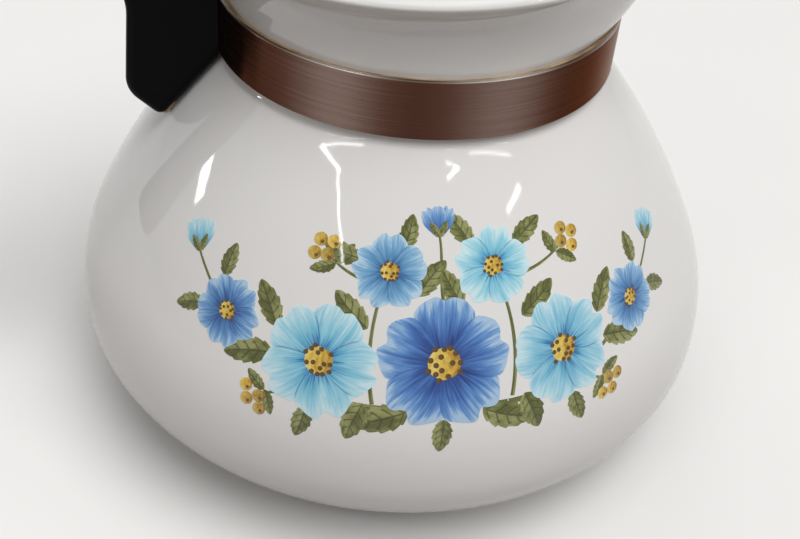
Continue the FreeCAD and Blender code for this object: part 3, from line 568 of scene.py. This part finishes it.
def spot_paint():
    """Small round strokes: ochre with a pale side when the tint is low, dark brown when it is high."""
    paint = Finish("spot_paint", **GLAZE_GLOSS)
    stroke = paint.attribute("stroke", "Vector")
    across, _, _ = paint.split(stroke)
    grain = paint.noise(stroke, scale=1.6, detail=2.0, stretch=(1.6, 2.0, 50.0))
    shade = paint.scaled(across, -0.22, grain)
    ochre = paint.ramp(
        shade, (0.25, (0.420, 0.210, 0.016)), (0.42, (0.640, 0.390, 0.036)), (0.60, (0.760, 0.530, 0.085)),
        (0.80, (0.840, 0.660, 0.200)))
    paint.colour(paint.mix(paint.attribute("tint", "Fac"), ochre, DOT_BROWN))
    return paint.material


def band_steel():
    """Brushed strap steel: hair-fine lines round it, a brown colour and upright zones of tone painted as
    reflection of warm surroundings, and an upper edge painted bright as polished wear and painted highlight.
    """
    # The brown specular tint is painted reflection of warm brown surroundings, not the steel's own colour.
    steel = Finish(
        "band_steel", Metallic=1.0, Anisotropic=0.75, Anisotropic_Rotation=0.25,
        Specular_Tint=(0.62, 0.48, 0.43))
    place = steel.place()
    x, y, z = steel.split(place)
    hair = steel.noise(place, scale=1.0, detail=2.0, stretch=(20.0, 20.0, 9000.0))
    drift = steel.noise(place, scale=1.0, detail=2.0, stretch=(34.0, 34.0, 2.0))
    turn = steel.math("ARCTAN2", y, x)
    # Painted reflection: a random drift of tone plus waves round the strap, lighter and darker zones where
    # surroundings would mirror.
    tone_and_reflection = steel.scaled(drift, 0.2, 0.40)
    for count, start, depth in BAND_REFLECTION_WAVES:
        wave = steel.math("SINE", steel.scaled(turn, count, math.radians(start)))
        tone_and_reflection = steel.scaled(wave, depth, tone_and_reflection)
    shade = steel.scaled(hair, 0.20, steel.math("MULTIPLY", tone_and_reflection, 0.80))
    # Brown base colours: the steel painted with a reflection of warm brown surroundings.
    brushed_reflection = steel.ramp(
        shade, (0.38, (0.060, 0.024, 0.016)), (0.46, (0.090, 0.042, 0.031)), (0.54, (0.140, 0.086, 0.069)),
        (0.62, (0.220, 0.155, 0.132)))
    # The upper edge is painted bright: polished wear, plus a painted highlight that rises and falls with the
    # painted reflection zones.
    wear_and_highlight = steel.ramp(shade, (0.42, (0.20, 0.15, 0.12)), (0.60, (0.80, 0.76, 0.71)))
    edge = steel.above(z, start=BAND_HIGH - BAND_EDGE, gain=1 / BAND_EDGE)
    steel.colour(steel.mix(edge, brushed_reflection, wear_and_highlight))
    steel.roughness(steel.scaled(hair, 0.16, 0.20))
    steel.bump(hair, strength=0.15, distance=0.02 * MM)
    return steel.material


def brewing_steel():
    """Spun steel of the brewing set: fine turning lines round its axis and a light tarnish."""
    steel = Finish("brewing_steel", Metallic=1.0)
    place = steel.place()
    x, y, z = steel.split(place)
    radius = steel.math("SQRT", steel.scaled(x, x, steel.math("MULTIPLY", y, y)))
    groove = steel.nodes.new("ShaderNodeCombineXYZ")
    steel.links.new(radius, groove.inputs["X"])
    steel.links.new(z, groove.inputs["Y"])
    lines = steel.noise(groove.outputs["Vector"], scale=1900.0, detail=2.0)
    tarnish = steel.noise(place, scale=45.0, detail=4.0)
    steel.colour(steel.ramp(tarnish, (0.32, (0.56, 0.55, 0.53)), (0.68, (0.72, 0.71, 0.695))))
    steel.roughness(steel.scaled(lines, 0.22, 0.16))
    steel.bump(lines, strength=0.2, distance=0.04 * MM)
    return steel.material


def black_moulding():
    """Black moulded plastic: a satin skin with a fine pebble, dusty where the noise is high."""
    plastic = Finish("black_moulding", IOR=1.5, Specular_IOR_Level=0.06)
    place = plastic.place()
    dust = plastic.noise(place, scale=38.0, detail=4.0)
    plastic.colour(plastic.ramp(dust, (0.35, (0.0008, 0.0007, 0.0011)), (0.75, (0.0026, 0.0023, 0.0026))))
    plastic.roughness(plastic.scaled(dust, 0.22, 0.30))
    plastic.bump(plastic.noise(place, scale=950.0, detail=2.0), strength=0.25, distance=0.08 * MM)
    return plastic.material


def tan_liner():
    """Tan resin of the strap's lining and the rest pad: mottled, with darker soaked patches."""
    resin = Finish("tan_liner", IOR=1.48)
    mottle = resin.noise(resin.place(), scale=160.0, detail=4.0)
    resin.colour(resin.ramp(
        mottle, (0.30, (0.30, 0.180, 0.075)), (0.52, (0.48, 0.315, 0.155)), (0.75, (0.63, 0.46, 0.27))))
    resin.roughness(resin.scaled(mottle, 0.3, 0.3))
    resin.bump(mottle, strength=0.2, distance=0.2 * MM)
    return resin.material


def plain_metal(name, dark, light, base_roughness):
    """A cast or pressed metal: cloudy tone between dark and light, with a grainy roughness."""
    metal = Finish(name, Metallic=1.0)
    place = metal.place()
    grain = metal.noise(place, scale=1400.0, detail=2.0)
    metal.colour(metal.ramp(metal.noise(place, scale=120.0, detail=4.0), (0.3, dark), (0.7, light)))
    metal.roughness(metal.scaled(grain, 0.2, base_roughness))
    metal.bump(grain, strength=0.15, distance=0.06 * MM)
    return metal.material


def pale_gasket():
    """Milky rubber of the gasket: a soft mottle and a dull skin."""
    rubber = Finish("pale_gasket", IOR=1.45)
    mottle = rubber.noise(rubber.place(), scale=240.0)
    rubber.colour(rubber.ramp(mottle, (0.3, (0.55, 0.53, 0.49)), (0.7, (0.68, 0.66, 0.61))))
    rubber.roughness(rubber.scaled(mottle, 0.2, 0.45))
    return rubber.material


def clear_glass():
    """Clear moulded glass: a slow wave in its skin and a faint haze."""
    glass = Finish("clear_glass", Transmission_Weight=1.0, IOR=1.5)
    wave = glass.noise(glass.place(), scale=70.0, detail=1.0)
    glass.colour(glass.ramp(wave, (0.3, (0.93, 0.96, 0.95)), (0.7, (0.97, 0.985, 0.98))))
    glass.roughness(glass.math("MULTIPLY", wave, 0.05))
    glass.bump(wave, strength=0.15, distance=0.6 * MM)
    return glass.material


# Blossoms: middle across and up, radius, turn of the first petal, tint from 0 sky blue to 1 cornflower.
BLOSSOMS = [
    (0, -5, 15.5, 90, 1.0),
    (-28, -7, 13.5, 70, 0.08),
    (29, -6, 13, 100, 0.15),
    (-51, -3, 8.5, 60, 0.85),
    (51, -2, 8.5, 120, 0.75),
    (11, 16, 9, 80, 0.0),
    (-12, 15, 8.5, 95, 0.6),
]
# Bell buds: middle, direction, length, tint.
BUDS = [(-60, 6, 120, 8, 0.1), (60, 7, 60, 8, 0.2), (-1, 23, 95, 7, 0.9)]
# Berry clusters: middle and direction of the sprig.
BERRIES = [(-41, -17, 225), (41, -16, 315), (-24, 15, 135), (27, 16, 45)]
# Stems: four control points each, the long ones first.
STEMS = [
    ((-1, -14), (-26, -20), (-48, -10), (-60, 6)),
    ((1, -14), (26, -19), (48, -9), (60, 7)),
    ((-16, -15), (-18, -2), (-15, 8), (-12, 15)),
    ((16, -14), (18, -1), (14, 9), (11, 16)),
    ((2, 2), (-2, 10), (0, 16), (-1, 23)),
    ((-30, -14), (-34, -15), (-38, -16), (-43, -19)),
    ((30, -13), (34, -14), (38, -15), (43, -18)),
    ((-13, 12), (-17, 12), (-22, 13), (-26, 17)),
    ((13, 13), (18, 13), (24, 14), (29, 18)),
]
LONG_STEMS = 2
LONG_STEM_HALF = 0.75
SHORT_STEM_HALF = 0.5
# Leaves: foot across and up, direction, length, half width, bend, tint.
LEAVES = [
    (-8, -16, 205, 13, 4.4, 0.12, 0.3), (9, -16, 335, 13, 4.4, -0.12, 0.6),
    (-18, -15, 245, 9.5, 3.8, -0.1, 0.8), (19, -14, 295, 9.5, 3.8, 0.1, 0.2),
    (-39, -8, 190, 12, 4.0, -0.15, 0.5), (41, -7, 350, 12, 4.0, 0.15, 0.7),
    (-38, -2, 120, 11, 3.6, -0.12, 0.2), (39, -1, 60, 11, 3.6, 0.12, 0.4),
    (-17, 2, 145, 11, 3.6, 0.1, 0.6), (18, 4, 30, 11, 3.6, -0.1, 0.3),
    (-6, 10, 60, 10, 3.4, 0.15, 0.4), (4, 8, 125, 9, 3.2, 0.1, 0.8),
    (-58, -4, 200, 8, 2.8, -0.1, 0.6), (58, -2, 340, 8, 2.8, 0.1, 0.3),
    (-52, 4, 95, 8, 2.8, 0.1, 0.4), (53, 5, 85, 8, 2.8, -0.1, 0.6),
    (16, 20, 40, 9, 3.0, 0.1, 0.2), (6, 21, 120, 9, 3.0, -0.1, 0.7),
    (-18, 17, 175, 9, 3.0, 0.1, 0.5), (-9, 20, 70, 8, 2.8, -0.12, 0.3),
    (0, -18, 270, 8, 3.0, 0.08, 0.5), (-31, -18, 265, 8, 3.0, 0.1, 0.4), (32, -17, 280, 8, 3.0, -0.1, 0.6),
]
# Blossom: its petal's start, length and half width, its heart and its dots, as shares of its radius.
PETALS = 5
BLOSSOM_PETAL = (0.06, 0.94, 0.56)
BLOSSOM_NOTCH = 0.12
HEART_SHARE = 0.24
HEART_TINT = 0.0
DOT_SHARE = 0.042
DOT_TINT = 0.9
# Rings of dots: share of the heart's radius, and how many; then how far a dot strays round and across.
DOT_RINGS = ((0.95, 11), (0.48, 4))
DOT_WANDER = 0.3
DOT_SCATTER = 0.14
# Bud: its petals and the leaves of its cup fan out by these angles, with sizes as shares of its length.
BUD_FANS = (-24, 24, 0)
BUD_PETAL = (0, 1, 0.32)
BUD_NOTCH = 0.08
CUP_FANS = (-30, 30)
CUP_LEAF = (0.55, 0.16)
CUP_TINT = 0.6
CUP_LAYER = 120
# Berries: reach and fan of each from the sprig's end, then the dark eye's offset, and the leaves either side.
BERRY_PLACES = ((4.6, -42), (5.6, -8), (5.0, 30), (2.4, 8))
BERRY_RADIUS = 1.55
BERRY_SHADE = 0.12
EYE_OFFSET = (0.35, -0.5)
EYE_RADIUS = 0.42
EYE_TINT = 0.85
SPRIG_FANS = (-75, 75)
SPRIG_LEAF = {"length": 6.0, "half_width": 1.9, "bend": 0.1, "tint": 0.5}
# Seeds that set each motif's brushwork apart: the first of its kind, and the step to the next.
STEM_SEED = (0, 0.3)
LEAF_SEED = (2, 0.37)
BLOSSOM_SEED = (3, 1.3)
BUD_SEED = (15, 1.1)
BERRY_SEED = (20, 0.9)
# Within a motif the seed goes on by these steps, for each stroke or, in a leaf, for each degree of its fan.
PETAL_STEP = 0.137
HEART_STEP = 0.5
DOT_STEP = 0.01
BUD_STEP = 0.21
CUP_STEP = 0.01
BERRY_STEP = 0.17
EYE_STEP = 0.3
SPRIG_STEP = 0.02


def seeded(motifs, seed):
    """Each motif with its place in the list and its own seed."""
    first, step = seed
    return ((order, first + step * order, motif) for order, motif in enumerate(motifs))


def around(centre, reach, radians):
    """The point at a reach and an angle from a centre."""
    return centre[0] + reach * math.cos(radians), centre[1] + reach * math.sin(radians)


def paint_blossom(petals, spots, blossom, seed):
    """Five notched petals round an ochre heart, with dots round its edge and a few inside."""
    *centre, radius, turn, tint = blossom
    sizes = [share * radius for share in BLOSSOM_PETAL]
    for k in range(PETALS):
        direction = turn + 360 / PETALS * k
        add_petal(petals, centre, direction, sizes, BLOSSOM_NOTCH, k, tint, seed + PETAL_STEP * k)
    heart = HEART_SHARE * radius
    add_spot(spots, centre, heart, HEART_LIFT, HEART_TINT, seed + HEART_STEP)
    for share, dots in DOT_RINGS:
        for k in range(dots):
            angle = 2 * math.pi * (k + DOT_WANDER * math.sin(5 * k + seed)) / dots
            reach = share * heart * (1 + DOT_SCATTER * math.sin(3 * k + seed))
            dot = around(centre, reach, angle)
            add_spot(spots, dot, DOT_SHARE * radius, DOT_LIFT, DOT_TINT, seed + DOT_STEP * k)


def paint_bud(petals, leaves, bud, seed):
    """A bell bud: three petals fanned out of a green cup."""
    *centre, direction, length, tint = bud
    sizes = [share * length for share in BUD_PETAL]
    for k, fan in enumerate(BUD_FANS):
        add_petal(petals, centre, direction + fan, sizes, BUD_NOTCH, k, tint, seed + BUD_STEP * k)
    cup_length, cup_half = (share * length for share in CUP_LEAF)
    for k, fan in enumerate(CUP_FANS):
        add_leaf(leaves, centre, direction + fan, cup_length, cup_half, bend=0, tint=CUP_TINT,
                 seed=seed + CUP_STEP * fan, layer=CUP_LAYER + k)


def paint_berries(leaves, spots, cluster, seed):
    """Four round berries fanned out at a sprig's end, with a small leaf either side."""
    *centre, direction = cluster
    for k, (reach, fan) in enumerate(BERRY_PLACES):
        berry = around(centre, reach, math.radians(direction + fan))
        eye = (berry[0] + EYE_OFFSET[0], berry[1] + EYE_OFFSET[1])
        add_spot(spots, berry, BERRY_RADIUS, HEART_LIFT, BERRY_SHADE * k, seed + BERRY_STEP * k)
        add_spot(spots, eye, EYE_RADIUS, DOT_LIFT, EYE_TINT, seed + EYE_STEP * k)
    for k, fan in enumerate(SPRIG_FANS):
        add_leaf(leaves, centre, direction + fan, **SPRIG_LEAF, seed=seed + SPRIG_STEP * fan, layer=k)


def paint_swag():
    """The whole print: stems lowest, then leaves, petals, hearts and dots."""
    petals, leaves, spots = Paint(), Paint(), Paint()
    for order, seed, points in seeded(STEMS, STEM_SEED):
        add_stem(leaves, points, LONG_STEM_HALF if order < LONG_STEMS else SHORT_STEM_HALF, seed)
    for order, seed, (*foot, direction, length, half_width, bend, tint) in seeded(LEAVES, LEAF_SEED):
        add_leaf(leaves, foot, direction, length, half_width, bend, tint, seed, layer=order)
    for _, seed, blossom in seeded(BLOSSOMS, BLOSSOM_SEED):
        paint_blossom(petals, spots, blossom, seed)
    for _, seed, bud in seeded(BUDS, BUD_SEED):
        paint_bud(petals, leaves, bud, seed)
    for _, seed, cluster in seeded(BERRIES, BERRY_SEED):
        paint_berries(leaves, spots, cluster, seed)
    leaves.finish("print_leaves", leaf_paint())
    petals.finish("print_petals", petal_paint())
    spots.finish("print_spots", spot_paint())


GLAZE = white_glaze()
VESSEL_MESH = turned_surface(VESSEL_PROFILE, VESSEL_SIDES, beak_shape)
vessel = new_object("glazed_vessel", *VESSEL_MESH, "pot", GLAZE, "white_glaze")
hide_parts("vessel")
paint_swag()

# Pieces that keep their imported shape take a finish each.
BREWING = ("pump_stem", "pump_bell", "basket_stop", "valve_disc", "coffee_basket", "basket_cover")
FIXINGS = ("handle_bracket", "handle_screw", "handle_washer", "lock_washer")
FIXING_STEEL = plain_metal("fixing_steel", (0.40, 0.39, 0.37), (0.56, 0.55, 0.53), 0.28)
NUT_ALUMINIUM = plain_metal("nut_aluminium", (0.62, 0.62, 0.62), (0.78, 0.78, 0.775), 0.32)
FINISHES = [
    (("lid",), GLAZE, "white_glaze"),
    (("neck_band",), band_steel(), "band_steel"),
    (("band_liner", "handle_rest_pad"), tan_liner(), "tan_liner"),
    (("handle", "knob_collar"), black_moulding(), "black_moulding"),
    (FIXINGS, FIXING_STEEL, "fixing_steel"),
    (("knob_nut",), NUT_ALUMINIUM, "nut_aluminium"),
    (("knob_gasket",), pale_gasket(), "pale_gasket"),
    (("glass_knob",), clear_glass(), "clear_glass"),
    (BREWING, brewing_steel(), "brewing_steel"),
]
for names, material, slot in FINISHES:
    for name in names:
        NODES[name].data.materials.clear()
        NODES[name].data.materials.append(material)


# Room: a pale floor and backdrop, which light the pot less than they show.
FLOOR_HALF = 6.0
FLOOR_STEPS = 9
FLOOR_DROP = 0.1 * MM
FLOOR_BOUNCE = (0.24, 0.22, 0.21)
ROOM_COLOUR = (1.0, 0.995, 0.985)
ROOM_LIGHT = 0.22
ROOM_BACKDROP = 0.72
LAMP_DISTANCE = 1.5
LAMP_CENTRE = Vector((0, 0, 60 * MM))
# Broad lights: azimuth, elevation, strength, spread.
SUNS = {
    "ceiling": (305, 62, 1.55, 45),
    "back_fill": (115, 40, 0.45, 60),
}
# Lamps that show in the glaze: azimuth, elevation, width, height, glow, roll.
LAMPS = {
    "overhead": (310, 77, 50, 38, 1.3, 0),
    "left_window": (169.5, 14.5, 8, 2.8, 22, -25),
    "left_spot": (162, 25.6, 3, 1.2, 22, -30),
    "streak_top": (219, 43.0, 0.9, 11.5, 20, 86),
    "streak_tail": (233, 35.8, 0.75, 17.5, 20, 42),
    "streak_cap": (221.5, 46.8, 18.6, 0.4, 16, 23),
    "glint_middle": (291.0, 45.4, 4.9, 0.9, 18, 12),
    "glint_hook": (290.7, 46.9, 5.4, 0.4, 16, -21),
    "glint_right": (313.9, 43.3, 18, 0.2, 16, -24),
    "glint_low": (318.7, 33.3, 8.2, 1.2, 12, 11),
}


def lay_floor():
    """A flat pale floor, x and y from -half to half, a hair below the base."""
    side = np.linspace(-FLOOR_HALF, FLOOR_HALF, FLOOR_STEPS)
    x, y = np.meshgrid(side, side)
    points = np.stack([x, y, np.full_like(x, -FLOOR_DROP)], axis=2).reshape(-1, 3)
    mesh = bpy.data.meshes.new("floor")
    mesh.from_pydata(points.tolist(), [], grid_faces(FLOOR_STEPS, FLOOR_STEPS))
    cover = Finish("floor", Roughness=0.85)
    tone = cover.noise(cover.place(), scale=3.0)
    pale = cover.ramp(tone, (0.3, (0.865, 0.855, 0.84)), (0.7, (0.895, 0.885, 0.87)))
    cover.colour(cover.mix(cover.seen(), FLOOR_BOUNCE, pale))
    mesh.materials.append(cover.material)
    floor = bpy.data.objects.new("floor", mesh)
    bpy.context.scene.collection.objects.link(floor)


def sky_direction(azimuth, elevation):
    """Unit vector towards a point of the sky, azimuth from +X towards +Y."""
    a, e = math.radians(azimuth), math.radians(elevation)
    return Vector((math.cos(a) * math.cos(e), math.sin(a) * math.cos(e), math.sin(e)))


def facing(direction):
    """The turn that points a lamp along a direction."""
    return direction.to_track_quat("-Z", "Y").to_matrix().to_4x4()


def hang(name, lamp, matrix):
    """Puts a lamp into the scene."""
    holder = bpy.data.objects.new(name, lamp)
    holder.matrix_world = matrix
    bpy.context.scene.collection.objects.link(holder)
    return holder


def hang_lamp(name, azimuth, elevation, width, height, glow, roll):
    """A rectangular lamp on a wide sphere round the pot, facing it, width by height degrees across.

    Its power is glow * pi * area, so a lamp of any size looks equally bright in the glaze.
    """
    lamp = bpy.data.lights.new(name, "AREA")
    lamp.shape = "RECTANGLE"
    lamp.size, lamp.size_y = (2 * LAMP_DISTANCE * math.tan(math.radians(a) / 2) for a in (width, height))
    lamp.energy = glow * math.pi * lamp.size * lamp.size_y
    out = sky_direction(azimuth, elevation)
    turned = facing(-out) @ Matrix.Rotation(math.radians(roll), 4, "Z")
    hang(name, lamp, Matrix.Translation(LAMP_CENTRE + out * LAMP_DISTANCE) @ turned)


def hang_sun(name, azimuth, elevation, strength, spread):
    """A broad even light from one side of the sky, spread over an angle, which doesn't show in the gloss."""
    lamp = bpy.data.lights.new(name, "SUN")
    lamp.energy = strength
    lamp.angle = math.radians(spread)
    holder = hang(name, lamp, facing(-sky_direction(azimuth, elevation)))
    holder.visible_glossy = False


def light_room():
    """An even pale room, broad light from the right and a little from behind, and lamps for glints."""
    world = bpy.data.worlds.new("room")
    world.use_nodes = True
    room = NodeTree(world.node_tree)
    backdrop = room.nodes["Background"].inputs
    room.feed(backdrop["Color"], ROOM_COLOUR)
    room.feed(backdrop["Strength"], room.scaled(room.seen(), ROOM_BACKDROP - ROOM_LIGHT, ROOM_LIGHT))
    bpy.context.scene.world = world
    for name, settings in SUNS.items():
        hang_sun(name, *settings)
    for name, settings in LAMPS.items():
        hang_lamp(name, *settings)


def place_camera():
    """The photograph's camera: level axes turned by its roll, looking at the target from its distance."""
    back = sky_direction(CAMERA_AZIMUTH - 90, CAMERA_ELEVATION)
    level = sky_direction(CAMERA_AZIMUTH, 0)
    upright = back.cross(level)
    roll = math.radians(CAMERA_ROLL)
    right = level * math.cos(roll) + upright * math.sin(roll)
    up = upright * math.cos(roll) - level * math.sin(roll)
    lens = bpy.data.cameras.new("camera")
    lens.sensor_fit = "HORIZONTAL"
    lens.sensor_width = SENSOR_WIDTH
    lens.lens = FOCAL_PIXELS / IMAGE_WIDTH * SENSOR_WIDTH
    lens.clip_start = CAMERA_NEAR
    camera = bpy.data.objects.new("camera", lens)
    matrix = Matrix((right, up, back)).transposed().to_4x4()
    matrix.translation = CAMERA_TARGET + back * CAMERA_DISTANCE
    camera.matrix_world = matrix
    bpy.context.scene.collection.objects.link(camera)
    bpy.context.scene.camera = camera


lay_floor()
light_room()
place_camera()
bpy.context.scene.view_settings.view_transform = "Standard"
